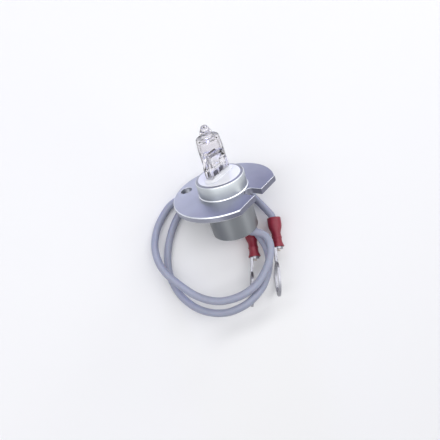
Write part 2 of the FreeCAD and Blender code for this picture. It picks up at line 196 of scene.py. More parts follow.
def apply_modifier(piece: bpy.types.Object, kind: str, **settings: object) -> None:
    """Add one modifier and apply it to the mesh.

    Args:
        piece: Mesh object.
        kind: Blender's name of the modifier type.
        **settings: Attributes of the modifier.
    """
    activate(piece)
    modifier = piece.modifiers.new(kind.lower(), kind)
    for name, value in settings.items():
        setattr(modifier, name, value)
    bpy.ops.object.modifier_apply(modifier=modifier.name)


def combine(piece: bpy.types.Object, other: bpy.types.Object, operation: str) -> None:
    """Unite a piece with another, or cut the other out of it, and delete the other.

    Args:
        piece: Mesh that stays.
        other: Mesh that is used up.
        operation: "UNION" or "DIFFERENCE".
    """
    apply_modifier(piece, "BOOLEAN", object=other, operation=operation, solver="EXACT")
    bpy.data.objects.remove(other)


def select_where(piece: bpy.types.Object, element: str, test: Callable[[Vector, object], bool]) -> None:
    """Select the faces or edges of the mesh that pass a test, and stay in edit mode.

    Args:
        piece: Mesh object, in object mode.
        element: "FACE" or "EDGE".
        test: Function of an element's middle and its mesh element.
    """
    activate(piece)
    mesh = piece.data
    bpy.ops.object.mode_set(mode="EDIT")
    bpy.ops.mesh.select_mode(type=element)
    bpy.ops.mesh.select_all(action="DESELECT")
    bpy.ops.object.mode_set(mode="OBJECT")
    for item in mesh.polygons if element == "FACE" else mesh.edges:
        places = [mesh.vertices[index].co for index in item.vertices]
        item.select = test(sum(places, Vector()) / len(places), item)
    bpy.ops.object.mode_set(mode="EDIT")


@dataclass(frozen=True)
class Corner:
    """One corner of a turned profile, in millimetres, with its rounding."""

    radius: float
    height: float
    rounding: float = 0.0


def trace(corners: list[Corner], steps: int = 4) -> list[tuple[float, float]]:
    """Trace a profile from corner to corner, with an arc at each rounded one.

    Args:
        corners: The profile's corners in order.
        steps: Facets in each arc.

    Returns:
        Points as (radius, height).
    """
    points = []
    for index, corner in enumerate(corners):
        place = Vector((corner.radius, corner.height))
        if corner.rounding == 0:
            points.append(tuple(place))
            continue
        back = (Vector((corners[index - 1].radius, corners[index - 1].height)) - place).normalized()
        after = corners[(index + 1) % len(corners)]
        ahead = (Vector((after.radius, after.height)) - place).normalized()
        half = back.angle(ahead) / 2
        reach = corner.rounding / math.tan(half)
        centre = place + (back + ahead).normalized() * (corner.rounding / math.sin(half))
        start = place + back * reach - centre
        turn = (place + ahead * reach - centre).angle_signed(start)
        for step in range(steps + 1):
            angle = turn * step / steps
            spoke = Matrix.Rotation(angle, 2) @ start
            points.append(tuple(centre + spoke))
    return points


def extrude_rings(
    name: str, rings: list[tuple[float, float, float]], segments: int, closed: bool
) -> bpy.types.Object:
    """Extrude a ring from height to height, scaled at each, as a lathe or a die shapes a tube.

    Args:
        name: Name of the new piece.
        rings: Half width on X, half width on Y and height of each ring.
        segments: Facets round the axis.
        closed: Whether the last ring meets the first. If not, both ends are filled.

    Returns:
        A closed mesh with its faces outwards, in millimetres.
    """
    deselect_all()
    bpy.ops.mesh.primitive_circle_add(vertices=segments, radius=1.0, location=(0, 0, 0))
    piece = bpy.context.object
    piece.name = name
    bpy.ops.object.mode_set(mode="EDIT")
    bpy.ops.mesh.select_all(action="SELECT")
    bpy.ops.transform.translate(value=(0, 0, rings[0][2]))
    bpy.ops.transform.resize(value=(rings[0][0], rings[0][1], 1))
    loop = rings + rings[:1] if closed else rings
    for before, after in zip(loop, loop[1:]):
        rise = {"value": (0, 0, after[2] - before[2])}
        bpy.ops.mesh.extrude_region_move(TRANSFORM_OT_translate=rise)
        bpy.ops.transform.resize(value=(after[0] / before[0], after[1] / before[1], 1))
    bpy.ops.mesh.select_all(action="SELECT")
    if closed:
        bpy.ops.mesh.remove_doubles(threshold=MERGE)
    else:
        bpy.ops.mesh.select_all(action="DESELECT")
        bpy.ops.mesh.select_non_manifold()
        bpy.ops.mesh.edge_face_add()
        bpy.ops.mesh.select_all(action="SELECT")
    bpy.ops.mesh.normals_make_consistent(inside=False)
    bpy.ops.object.mode_set(mode="OBJECT")
    return piece


def turn_piece(
    name: str, corners: list[Corner], segments: int = 128, closed: bool = False, steps: int = 4
) -> bpy.types.Object:
    """Turn a round piece from its profile.

    Args:
        name: Name of the new piece.
        corners: Profile corners, from the start of the cut to its end.
        segments: Facets round the axis.
        closed: Whether the profile is a loop beside the axis.
        steps: Facets in each rounded corner.

    Returns:
        The turned mesh, in millimetres.
    """
    rings = [(radius, radius, height) for radius, height in trace(corners, steps)]
    return extrude_rings(name, rings, segments, closed)


def add_block(
    size: tuple[float, float, float], centre: tuple[float, float, float]
) -> bpy.types.Object:
    """Add a block as stock or as a cutter.

    Args:
        size: Its extents in millimetres.
        centre: Its middle in millimetres.

    Returns:
        The block.
    """
    deselect_all()
    bpy.ops.mesh.primitive_cube_add(size=1, location=centre, scale=size)
    bpy.ops.object.transform_apply(location=True, rotation=True, scale=True)
    return bpy.context.object


def add_rod(
    radius: float, length: float, centre: tuple[float, float, float], vertices: int = 64,
    crosswise: bool = False
) -> bpy.types.Object:
    """Add a rod as stock or as a cutter.

    Args:
        radius: Its radius in millimetres.
        length: Its length in millimetres.
        centre: Its middle in millimetres.
        vertices: Facets round it.
        crosswise: Whether it lies along X instead of standing upright.

    Returns:
        The rod.
    """
    deselect_all()
    bpy.ops.mesh.primitive_cylinder_add(
        vertices=vertices, radius=radius, depth=length, location=centre,
        rotation=(0, math.pi / 2 if crosswise else 0, 0))
    bpy.ops.object.transform_apply(location=True, rotation=True, scale=True)
    return bpy.context.object


def lay(piece: bpy.types.Object, placement: Matrix) -> None:
    """Take a piece from its own frame to its place on the bench.

    Args:
        piece: Mesh in millimetres.
        placement: Where its frame lies, in metres.
    """
    activate(piece)
    piece.matrix_world = placement @ Matrix.Scale(MM, 4)
    bpy.ops.object.transform_apply(location=True, rotation=True, scale=True)


def smooth(piece: bpy.types.Object, angle: float = 35.0) -> None:
    """Shade a piece smooth, apart from edges sharper than the angle in degrees."""
    activate(piece)
    bpy.ops.object.shade_smooth_by_angle(angle=math.radians(angle))


def dress(piece: bpy.types.Object, finish: "Finish", slot: str, *nodes: str) -> bpy.types.Object:
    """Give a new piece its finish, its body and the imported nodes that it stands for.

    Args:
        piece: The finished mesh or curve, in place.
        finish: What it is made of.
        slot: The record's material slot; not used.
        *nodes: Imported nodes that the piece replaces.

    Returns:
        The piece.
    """
    piece.data.materials.clear()
    piece.data.materials.append(finish.material())
    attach(piece, BODY)
    if nodes:
        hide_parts(*nodes)
    log.info("%s stands for %s", piece.name, ", ".join(nodes) or "nothing packed")
    return piece


def dress_node(node: str, finish: "Finish") -> None:
    """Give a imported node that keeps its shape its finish.

    Args:
        node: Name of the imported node.
        finish: What it is made of.
    """
    mesh = frame["nodes"][node].data
    mesh.materials.clear()
    mesh.materials.append(finish.material())
    log.info("%s keeps its packed shape", node)


def mount(name: str) -> dict:
    """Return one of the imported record's mounts."""
    return next(entry for entry in frame["record"]["mounts"] if entry["name"] == name)


def lamp_placement() -> Matrix:
    """Find how the upright lamp lies on the bench.

    The axis is the front boss's, height 0 is the flange's front face, and the
    slot is on +X.

    Returns:
        The placement of the lamp's own frame, in metres.
    """
    axis = Vector(mount("front_boss")["axis"]).normalized()
    on_axis = Vector(mount("front_boss")["pos_m"])
    on_face = Vector(mount("flange_face")["pos_m"])
    origin = on_axis - axis * (on_axis - on_face).dot(axis)
    to_slot = Vector(mount("locating_slot")["pos_m"]) - origin
    across = (to_slot - axis * to_slot.dot(axis)).normalized()
    turned = Matrix((across, axis.cross(across), axis)).transposed()
    return Matrix.Translation(origin) @ turned.to_4x4()


@dataclass(frozen=True)
class Finish:
    """What every finish has: a name, a colour and how rough it is."""

    name: str
    colour: str
    roughness: float

    def material(self) -> bpy.types.Material:
        """Return this finish's material, made once."""
        made = bpy.data.materials.get(self.name)
        if made is None:
            made = bpy.data.materials.new(self.name)
            made.use_nodes = True
            tree = made.node_tree
            shader = tree.nodes["Principled BSDF"]
            feed(tree, shader, {"Base Color": linear(self.colour), "Roughness": self.roughness})
            feed(tree, shader, self.detail(tree))
        return made

    def detail(self, tree: bpy.types.NodeTree) -> dict:
        """Return the shader's inputs that set this finish apart."""
        return {}


@dataclass(frozen=True)
class TurnedAluminium(Finish):
    """Clear-anodised aluminium, turned: a satin metal with fine rings from the tool.

    Its tones are chosen to match the photograph: darker towards +X, lighter on the front
    boss, duller on the rear one and bright along the edges. Its tones are matched, and
    paint light and shade into the metal: painted shade darker towards +X, a painted
    sheen lighter on the front boss, painted shade on the rear one and painted highlights
    along the edges. A thicker coat, wear, heat and bare metal would look so, but the
    photograph doesn't show what the cause is.
    The tool's feed is nearer 0.1 mm, and its rings are drawn coarser so that they show.
    """

    origin: tuple[float, float, float] = (0, 0, 0)
    turning: tuple[float, float, float] = (0, 0, 0)
    axis: tuple[float, float, float] = (0, 0, 1)
    ring_spacing_mm: float = 0.4
    ring_depth_mm: float = 0.004
    unevenness: float = 0.06
    clouding_mm: float = 11.0
    clouding: float = 0.25
    spread_mm: float = 16.0
    # Faces at about 45 degrees to the axis take the painted edge highlight.
    chamfer: float = 0.707
    chamfer_reach: float = 0.08
    chamfer_blend: float = 0.04
    # Where the front boss's painted sheen lies, as heights.
    sheen_middle_mm: float = 2.8
    sheen_reach_mm: float = 2.3
    # Where the rear boss's painted shade lies, as heights.
    rear_middle_mm: float = -10.5
    rear_reach_mm: float = 8.1
    blend_mm: float = 0.2
    # Colour of the painted sheen on the front boss.
    front_boss_sheen: str = "#c4c9cc"
    # Colour of the painted shade towards +X.
    painted_side_shade: str = "#7c7d8c"
    # Colour of the painted shade on the rear boss.
    rear_boss_shade: str = "#86898c"
    # Colour of the painted highlight on the edges.
    edge_highlight: str = "#e2e5ea"

    def detail(self, tree: bpy.types.NodeTree) -> dict:
        """Cut rings about the lamp's axis and colour the metal, with painted light and shade.

        Args:
            tree: The material's nodes.

        Returns:
            The shader's inputs.
        """
        coords = add_node(tree, "ShaderNodeTexCoord")
        own = add_node(
            tree, "ShaderNodeMapping",
            {"Vector": coords.outputs["Object"], "Location": self.origin, "Rotation": self.turning},
            vector_type="TEXTURE")
        parts = add_node(tree, "ShaderNodeSeparateXYZ", {"Vector": own.outputs["Vector"]})
        flat = add_node(
            tree, "ShaderNodeCombineXYZ", {"X": parts.outputs["X"], "Y": parts.outputs["Y"]})
        radius = add_node(
            tree, "ShaderNodeVectorMath", {0: flat.outputs["Vector"]}, operation="LENGTH")
        where = add_node(
            tree, "ShaderNodeCombineXYZ", {"X": radius.outputs["Value"], "Z": parts.outputs["Z"]})
        rings = noise(tree, where.outputs["Vector"], self.ring_spacing_mm, detail=2.0)
        smooth, dull = self.roughness - self.unevenness, self.roughness + self.unevenness
        lean = add_node(
            tree, "ShaderNodeVectorMath", {0: coords.outputs["Normal"], 1: self.axis},
            operation="DOT_PRODUCT")
        slope = add_node(tree, "ShaderNodeMath", {0: lean.outputs["Value"]}, operation="ABSOLUTE")
        return {
            "Metallic": 1.0,
            "Base Color": self.tone(tree, own.outputs["Vector"], parts, slope.outputs[0]),
            "Roughness": vary(tree, rings, smooth, dull),
            "Normal": relief(tree, rings, self.ring_depth_mm),
        }

    def tone(
        self, tree: bpy.types.NodeTree, point: bpy.types.NodeSocket, parts: bpy.types.Node,
        slope: bpy.types.NodeSocket
    ) -> bpy.types.NodeSocket:
        """Paint shade from side to side, a painted sheen on the front boss, painted shade on the rear one
        and painted highlights on the edges.

        Args:
            tree: The material's nodes.
            point: Place in the lamp's own frame.
            parts: Node that gives that place's three numbers.
            slope: How much the surface faces along the axis, from 0 to 1.

        Returns:
            The colour.
        """
        # Painted shade: darker from -X towards +X, with random clouds over it.
        spread = self.spread_mm * MM
        across = add_node(
            tree, "ShaderNodeMapRange",
            {"Value": parts.outputs["X"], "From Min": -spread, "From Max": spread})
        clouds = vary(tree, noise(tree, point, self.clouding_mm), -self.clouding, self.clouding)
        side_shade_and_clouds = add_node(
            tree, "ShaderNodeMath", {0: across.outputs["Result"], 1: clouds},
            operation="ADD", use_clamp=True)
        tone = mix_colours(tree, side_shade_and_clouds.outputs[0], linear(self.colour), linear(self.painted_side_shade))
        height = parts.outputs["Z"]
        # A painted sheen on the front boss, painted shade on the rear boss and painted highlights on the 45
        # degree chamfers.
        for source, middle, reach, blend, shade in (
            (height, self.sheen_middle_mm * MM, self.sheen_reach_mm * MM, self.blend_mm * MM, self.front_boss_sheen),
            (height, self.rear_middle_mm * MM, self.rear_reach_mm * MM, self.blend_mm * MM, self.rear_boss_shade),
            (slope, self.chamfer, self.chamfer_reach, self.chamfer_blend, self.edge_highlight),
        ):
            band = self.band(tree, source, middle, reach, blend)
            tone = mix_colours(tree, band, tone, linear(shade))
        return tone

    @staticmethod
    def band(
        tree: bpy.types.NodeTree, source: bpy.types.NodeSocket, middle: float, reach: float, blend: float
    ) -> bpy.types.NodeSocket:
        """Find where a value is within a reach of a middle.

        Args:
            tree: The material's nodes.
            source: The value.
            middle: Middle of the band.
            reach: Half the band's width.
            blend: Width over which the band fades out.

        Returns:
            1 inside the band and 0 beyond its blend.
        """
        above = add_node(tree, "ShaderNodeMath", {0: source, 1: middle}, operation="SUBTRACT")
        away = add_node(tree, "ShaderNodeMath", {0: above.outputs[0]}, operation="ABSOLUTE")
        inside = add_node(
            tree, "ShaderNodeMapRange",
            {"Value": away.outputs[0], "From Min": reach, "From Max": reach + blend, "To Min": 1.0,
             "To Max": 0.0})
        return inside.outputs["Result"]


@dataclass(frozen=True)
class FiredCeramic(Finish):
    """Unglazed steatite or cement: chalky white, with a grain that breaks up any shine."""

    grain_mm: float = 0.25
    grain_depth_mm: float = 0.01
    dark: str = "#e4e6ee"

    def detail(self, tree: bpy.types.NodeTree) -> dict:
        """Grain the surface in colour and relief.

        Args:
            tree: The material's nodes.

        Returns:
            The shader's inputs.
        """
        grain = noise(tree, surface_point(tree), self.grain_mm, detail=4.0)
        return {
            "Base Color": mix_colours(tree, grain, linear(self.dark), linear(self.colour)),
            "Normal": relief(tree, grain, self.grain_depth_mm),
        }


@dataclass(frozen=True)
class QuartzGlass(Finish):
    """Fused quartz, blown and pinched: clear and sharply glossy, with painted shade on its rims and slight
    waves.
    """

    wave_mm: float = 3.0
    wave_depth_mm: float = 0.03
    index: float = 1.458
    # Colour of the painted shade on the rims.
    edge: str = "#3c3a42"
    edge_from: float = 0.42
    edge_to: float = 0.72

    def detail(self, tree: bpy.types.NodeTree) -> dict:
        """Let light through, paint shade on the wall where it is seen edge on, and wave the surface.

        Args:
            tree: The material's nodes.

        Returns:
            The shader's inputs.
        """
        # Painted shade where the wall is seen edge on.
        facing = add_node(tree, "ShaderNodeLayerWeight", {"Blend": 0.5})
        rim = add_node(
            tree, "ShaderNodeMapRange",
            {"Value": facing.outputs["Facing"], "From Min": self.edge_from, "From Max": self.edge_to})
        waves = noise(tree, surface_point(tree), self.wave_mm, detail=1.0)
        return {
            "Base Color": mix_colours(
                tree, rim.outputs["Result"], linear(self.colour), linear(self.edge)),
            "Transmission Weight": 1.0,
            "IOR": self.index,
            "Normal": relief(tree, waves, self.wave_depth_mm),
        }


@dataclass(frozen=True)
class DrawnMetal(Finish):
    """Drawn, rolled or plated metal: wire, foil or tin plate, with a shine that is a little uneven."""

    grain_mm: float = 0.5
    grain_depth_mm: float = 0.004
    polish: float = 0.07
    tarnish: float = 0.1

    def detail(self, tree: bpy.types.NodeTree) -> dict:
        """Mottle the polish.

        Args:
            tree: The material's nodes.

        Returns:
            The shader's inputs.
        """
        mottle = noise(tree, surface_point(tree), self.grain_mm)
        smooth, dull = self.roughness - self.polish, self.roughness + self.tarnish
        return {
            "Metallic": 1.0,
            "Roughness": vary(tree, mottle, smooth, dull),
            "Normal": relief(tree, mottle, self.grain_depth_mm),
        }


@dataclass(frozen=True)
class SoftPolymer(Finish):
    """Extruded or dipped polymer: a soft, deep colour under a satin skin.

    Its real skin is finer than 0.1 mm, and is drawn coarser so that it shows.
    """

    shade: str = "#808080"
    mottle_mm: float = 2.0
    skin_mm: float = 0.18
    skin_depth_mm: float = 0.006
    unevenness: float = 0.05
    glow: float = 0.1
    glow_mm: float = 0.6

    def detail(self, tree: bpy.types.NodeTree) -> dict:
        """Mottle the colour, dull the skin and let some light into it.

        Args:
            tree: The material's nodes.

        Returns:
            The shader's inputs.
        """
        point = surface_point(tree)
        mottle, skin = noise(tree, point, self.mottle_mm), noise(tree, point, self.skin_mm)
        smooth, dull = self.roughness - self.unevenness, self.roughness + self.unevenness
        return {
            "Base Color": mix_colours(tree, mottle, linear(self.shade), linear(self.colour)),
            "Subsurface Weight": self.glow,
            "Subsurface Scale": self.glow_mm * MM,
            "Roughness": vary(tree, skin, smooth, dull),
            "Normal": relief(tree, skin, self.skin_depth_mm),
        }


@dataclass
class Holder:
    """Aluminium holder: a flange between a front and a rear boss, from one piece."""

    flange_radius: float = 19.0
    flange_thickness: float = 2.2
    front_radius: float = 9.05
    front_height: float = 5.2
    rear_radius: float = 8.8
    rear_length: float = 15.4
    rear_bore_radius: float = 7.5
    shelf_bore_radius: float = 5.0
    shelf_thickness: float = 2.0
    seat_radius: float = 7.9
    seat_depth: float = 1.5
    collar_rise: float = 0.42
    collar_lip: float = 0.08
    edge_break: float = 0.3
    milled_break: float = 0.28
    foot_clearance: float = 0.36
    flat_distance: float = 15.25
    slot_width: float = 4.2
    slot_to_boss: float = 0.5
    hole_radius: float = 2.2
    hole_circle_radius: float = 15.4
    hole_angle: float = 195.6
    overshoot: float = 1.0
    segments: int = 160

    def build(self, placement: Matrix, finish: Finish) -> bpy.types.Object:
        """Turn the holder, mill its flange and lay it down.

        Args:
            placement: Where the lamp's own frame lies.
            finish: The holder's finish.

        Returns:
            The dressed holder.
        """
        piece = self.turn()
        self.mill(piece)
        lay(piece, placement)
        smooth(piece)
        return dress(piece, finish, "aluminium", "lamp_holder")

    def turn(self) -> bpy.types.Object:
        """Turn the two bosses and the flange as one loop beside the axis.

        Returns:
            The turned holder, in millimetres.
        """
        edge = self.edge_break
        low = -self.flange_thickness
        rear = low - self.rear_length
        shelf = -self.seat_depth - self.shelf_thickness
        corners = [
            Corner(self.shelf_bore_radius, shelf),
            Corner(self.rear_bore_radius, shelf),
            Corner(self.rear_bore_radius, rear, edge),
            Corner(self.rear_radius, rear, edge),
            Corner(self.rear_radius, low, edge),
            Corner(self.flange_radius, low, edge),
            Corner(self.flange_radius, 0, edge),
            Corner(self.front_radius, 0, edge),
            Corner(self.front_radius, self.front_height, edge),
            Corner(self.seat_radius, self.front_height + self.collar_rise, self.collar_lip),
            Corner(self.seat_radius, -self.seat_depth),
            Corner(self.shelf_bore_radius, -self.seat_depth),
        ]
        return turn_piece("holder", corners, self.segments, closed=True, steps=1)

    def mill(self, piece: bpy.types.Object) -> None:
        """Cut the flat, the open slot and the round hole, and break their edges.

        Args:
            piece: The turned holder.
        """
        depth = self.flange_thickness + 2 * self.overshoot
        middle = -self.flange_thickness / 2
        beyond = self.flange_radius - self.flat_distance + self.overshoot
        flat = add_block(
            (beyond, 2 * self.flange_radius, depth), (self.flat_distance + beyond / 2, 0, middle))
        combine(piece, flat, "DIFFERENCE")
        slot_end = self.front_radius + self.slot_to_boss + self.slot_width / 2
        reach = self.flange_radius - slot_end
        slot = add_block((reach, self.slot_width, depth), (slot_end + reach / 2, 0, middle))
        combine(piece, slot, "DIFFERENCE")
        combine(piece, add_rod(self.slot_width / 2, depth, (slot_end, 0, middle), 48), "DIFFERENCE")
        angle = math.radians(self.hole_angle)
        place = (
            self.hole_circle_radius * math.cos(angle), self.hole_circle_radius * math.sin(angle), middle)
        combine(piece, add_rod(self.hole_radius, depth, place, 48), "DIFFERENCE")
        self.break_milled_edges(piece)

    def break_milled_edges(self, piece: bpy.types.Object) -> None:
        """Bevel the edges that the cutters left between a face and a wall.

        Args:
            piece: The milled holder.
        """
        faces = (0.0, -self.flange_thickness)
        sharp = math.radians(60)
        normals: dict[tuple[int, int], list[Vector]] = {}
        for polygon in piece.data.polygons:
            for key in polygon.edge_keys:
                normals.setdefault(key, []).append(polygon.normal)

        def cut_edge(middle: Vector, edge: bpy.types.MeshEdge) -> bool:
            """Tell whether an edge lies on a flange face and turns it sharply.

            Args:
                middle: The edge's middle.
                edge: The edge.

            Returns:
                Whether to bevel it.
            """
            level = any(abs(middle.z - face) < PICK for face in faces)
            sides = normals[edge.key]
            outside = math.hypot(middle.x, middle.y) > self.front_radius + self.foot_clearance
            return level and outside and len(sides) == 2 and sides[0].angle(sides[1], 0) > sharp

        select_where(piece, "EDGE", cut_edge)
        bpy.ops.mesh.bevel(offset=self.milled_break, segments=1, affect="EDGES", clamp_overlap=True)
        bpy.ops.object.mode_set(mode="OBJECT")


@dataclass
class CeramicBase:
    """White ceramic disc in the front boss, with the cement around the pinch."""

    radius: float = 7.85
    top: float = 5.7
    seat_depth: float = 1.5
    edge_round: float = 0.35
    under_round: float = 0.1
    pocket_length: float = 11.6
    pocket_width: float = 3.9
    pocket_floor: float = 1.6
    mound_height: float = 1.0
    mound_spread: float = 1.2
    mound_crown: float = 0.5
    lump_mm: float = 1.3
    lump_depth: float = 0.12
    lump_level: float = 0.55
    grain: float = 0.2
    slump: float = 0.6
    smoothing: int = 36

    def build(self, placement: Matrix, ceramic: Finish, cement: Finish) -> list[bpy.types.Object]:
        """Build the disc and the cement and lay them down, each in its own finish."""
        return [self.build_disc(placement, ceramic), self.build_cement(placement, cement)]

    def build_disc(self, placement: Matrix, finish: Finish) -> bpy.types.Object:
        """Turn the disc and cut the pocket for the pinch.

        Args:
            placement: Where the lamp's own frame lies.
            finish: The ceramic.

        Returns:
            The dressed disc.
        """
        disc = turn_piece("base_disc", [
            Corner(self.pocket_width / 2, -self.seat_depth),
            Corner(self.radius, -self.seat_depth, self.under_round),
            Corner(self.radius, self.top, self.edge_round),
            Corner(self.pocket_width / 2, self.top),
        ], 128, steps=6)
        combine(disc, self.pocket("pocket_cutter", 0.0, self.top + self.mound_height), "DIFFERENCE")
        lay(disc, placement)
        smooth(disc)
        return dress(disc, finish, "ceramic_white", "ceramic_base")

    def pocket(self, name: str, margin: float, top: float) -> bpy.types.Object:
        """Add a round-ended block the shape of the pocket.

        Args:
            name: Name of the block.
            margin: How far it stands out beyond the pocket, in millimetres.
            top: Height of its top.

        Returns:
            The block.
        """
        width = self.pocket_width / 2 + margin
        run = self.pocket_length - self.pocket_width
        height = top - self.pocket_floor
        middle = (top + self.pocket_floor) / 2
        block = add_block((2 * width, run, height), (0, 0, middle))
        block.name = name
        for end in (-run / 2, run / 2):
            combine(block, add_rod(width, height, (0, end, middle), 48), "UNION")
        return block

    def build_cement(self, placement: Matrix, finish: Finish) -> bpy.types.Object:
        """Heap the cement around the pinch and roughen it.

        Args:
            placement: Where the lamp's own frame lies.
            finish: The cement.

        Returns:
            The dressed cement.
        """
        top = self.top + self.mound_height
        stock = 4 * self.radius
        mound = self.pocket("base_cement", 0.0, top)
        brim = self.pocket("brim", self.mound_spread, self.top + self.mound_height * self.mound_crown)
        trim = add_block((stock, stock, stock), (0, 0, self.top - stock / 2))
        combine(brim, trim, "DIFFERENCE")
        combine(mound, brim, "UNION")
        apply_modifier(mound, "REMESH", mode="VOXEL", voxel_size=self.grain)
        apply_modifier(mound, "SMOOTH", factor=self.slump, iterations=self.smoothing)
        lumps = bpy.data.textures.new("cement_lumps", "CLOUDS")
        lumps.noise_scale = self.lump_mm
        apply_modifier(
            mound, "DISPLACE", texture=lumps, strength=self.lump_depth, mid_level=self.lump_level)
        lay(mound, placement)
        smooth(mound, 60)
        return dress(mound, finish, "cement_white", "capsule_cement")


@dataclass
class Capsule:
    """Quartz capsule: a drawn body, a pinch pressed by arched jaws, and the tip where it was sealed."""

    radius: float = 4.4
    wall: float = 0.85
    foot: float = 9.2
    taper_start: float = 16.5
    taper_round: float = 8.0
    shoulder: float = 20.7
    shoulder_radius: float = 4.05
    shoulder_round: float = 0.7
    gas_round: float = 1.4
    tip_root: float = 2.0
    tip_root_round: float = 0.4
    tip_belly: float = 2.15
    tip_belly_rise: float = 1.6
    tip_belly_round: float = 0.9
    tip_end: float = 0.9
    tip_end_round: float = 0.7
    tip_length: float = 3.93
    pole: float = 0.3
    pinch_width: float = 10.4
    pinch_foot: float = 2.2
    rail_thickness: float = 2.7
    rail_width: float = 1.3
    web_thickness: float = 1.9
    window_top: float = 10.4
    window_round: float = 3.0
    ear_height: float = 10.5
    ear_rise: float = 3.7
    ear_half_width: float = 3.975
    jaw_height: float = 12.2
    jaw_radius: float = 5.18
    jaw_slope: float = 1.0
    floor_rise: float = 1.2
    melt: float = 0.12
    flow: float = 0.5
    melt_passes: int = 7

    def build(self, placement: Matrix, finish: Finish) -> bpy.types.Object:
        """Draw, press and seal the glass, then hollow it.

        Args:
            placement: Where the lamp's own frame lies.
            finish: The glass.

        Returns:
            The dressed capsule.
        """
        piece = self.draw()
        for side in (-1, 1):
            combine(piece, self.jaw(side), "DIFFERENCE")
        combine(piece, self.pinch(), "UNION")
        apply_modifier(piece, "REMESH", mode="VOXEL", voxel_size=self.melt)
        apply_modifier(piece, "SMOOTH", factor=self.flow, iterations=self.melt_passes)
        combine(piece, self.gas_space(), "DIFFERENCE")
        lay(piece, placement)
        smooth(piece, 180)
        return dress(piece, finish, "quartz_glass", "glass_capsule")

    def draw(self) -> bpy.types.Object:
        """Turn the outside of the tube, with its flat shoulder and its squat tip."""
        top = self.shoulder + self.tip_length
        return turn_piece("capsule_glass", [
            Corner(self.pole, self.foot),
            Corner(self.radius, self.foot),
            Corner(self.radius, self.taper_start, self.taper_round),
            Corner(self.shoulder_radius, self.shoulder, self.shoulder_round),
            Corner(self.tip_root, self.shoulder, self.tip_root_round),
            Corner(self.tip_belly, self.shoulder + self.tip_belly_rise, self.tip_belly_round),
            Corner(self.tip_end, top, self.tip_end_round),
            Corner(self.pole / 2, top),
        ], 96, steps=6)

    def jaw(self, side: int) -> bpy.types.Object:
        """Model the jaw that presses one face: an arched end that slopes up, away from the pinch.

        Args:
            side: 1 for the face on +X, -1 for the one on -X.

        Returns:
            The jaw.
        """
        face = self.rail_thickness / 2
        reach = self.pinch_width / 2 - face
        middle = (side * (face + reach / 2), 0, self.jaw_height - self.jaw_radius)
        jaw = add_rod(self.jaw_radius, reach, middle, 96, crosswise=True)
        select_where(jaw, "FACE", lambda at, item: abs(at.x) > face + reach - PICK)
        bpy.ops.transform.translate(value=(0, 0, self.jaw_slope))
        bpy.ops.object.mode_set(mode="OBJECT")
        return jaw

    def pinch(self) -> bpy.types.Object:
        """Press the pinch: two rails that run up into the tube, and a thinner web between them.

        Returns:
            The pinch.
        """
        height = self.ear_height - self.pinch_foot
        middle = (self.ear_height + self.pinch_foot) / 2
        pinch = add_block((self.rail_thickness, self.pinch_width, height), (0, 0, middle))
        pinch.name = "pinch"
        select_where(pinch, "FACE", lambda at, item: at.z > self.ear_height - PICK)
        bpy.ops.mesh.extrude_region_move(TRANSFORM_OT_translate={"value": (0, 0, self.ear_rise)})
        bpy.ops.transform.resize(value=(1, 2 * self.ear_half_width / self.pinch_width, 1))
        bpy.ops.object.mode_set(mode="OBJECT")
        window = self.pinch_width - 2 * self.rail_width
        depth = (self.rail_thickness - self.web_thickness) / 2
        rise = self.window_top - self.pinch_foot
        for side in (-1, 1):
            place = side * (self.web_thickness / 2 + depth)
            cutter = add_block((2 * depth, window, 2 * rise), (place, 0, self.pinch_foot))
            select_where(
                cutter, "EDGE", lambda at, item: at.z > self.window_top - PICK and abs(at.y) > PICK)
            bpy.ops.mesh.bevel(offset=self.window_round, segments=8, affect="EDGES")
            bpy.ops.object.mode_set(mode="OBJECT")
            combine(pinch, cutter, "DIFFERENCE")
        return pinch

    def gas_space(self) -> bpy.types.Object:
        """Turn the space inside, down to an arched floor over the pinch.

        Returns:
            The space, as a cutter.
        """
        inner = self.radius - self.wall
        top = self.shoulder - self.wall
        space = turn_piece("gas_space", [
            Corner(self.pole, self.foot),
            Corner(inner, self.foot),
            Corner(inner, self.taper_start),
            Corner(self.shoulder_radius - self.wall, top, self.gas_round),
            Corner(self.pole, top),
        ], 96, steps=8)
        middle = (0, 0, self.jaw_height + self.floor_rise - self.jaw_radius)
        floor = add_rod(self.jaw_radius, 2 * self.radius, middle, 96, crosswise=True)
        combine(space, floor, "DIFFERENCE")
        return space


@dataclass
class Burner:
    """What glows: a wire wound in a close coil, across the capsule."""

    coil_height: float = 14.9
    coil_length: float = 3.8
    coil_radius: float = 0.35
    wire_radius: float = 0.075
    turns: int = 19
    steps_per_turn: int = 12

    def build(self, placement: Matrix, finish: Finish) -> bpy.types.Object:
        """Wind the coil as one wire and lay it down.

        Args:
            placement: Where the lamp's own frame lies.
            finish: The wire's finish.

        Returns:
            The dressed coil.
        """
        curve = bpy.data.curves.new("coil", "CURVE")
        curve.dimensions = "3D"
        curve.bevel_depth = self.wire_radius
        curve.bevel_resolution = 2
        curve.use_fill_caps = True
        count = self.turns * self.steps_per_turn + 1
        line = curve.splines.new("POLY")
        line.points.add(count - 1)
        radius = self.coil_radius - self.wire_radius
        run = self.coil_length - 2 * self.wire_radius
        for step in range(count):
            angle = math.tau * step / self.steps_per_turn
            along = run * (step / (count - 1) - 0.5)
            line.points[step].co = (
                radius * math.cos(angle), along, self.coil_height + radius * math.sin(angle), 1)
        holder = bpy.data.objects.new("coil_wire", curve)
        bpy.context.collection.objects.link(holder)
        activate(holder)
        bpy.ops.object.convert(target="MESH")
        piece = bpy.context.object
        piece.name = "filament_coil"
        lay(piece, placement)
        smooth(piece, 60)
        return dress(piece, finish, "tungsten", "filament")


@dataclass
class TerminalLie:
    """How one terminal lies on the bench: the mouth of its sleeve and its turns in degrees."""

    entry: tuple[float, float]
    pitch: float
    tongue_bend: float
    heading: float = -106.5
    lean: float = 6.0


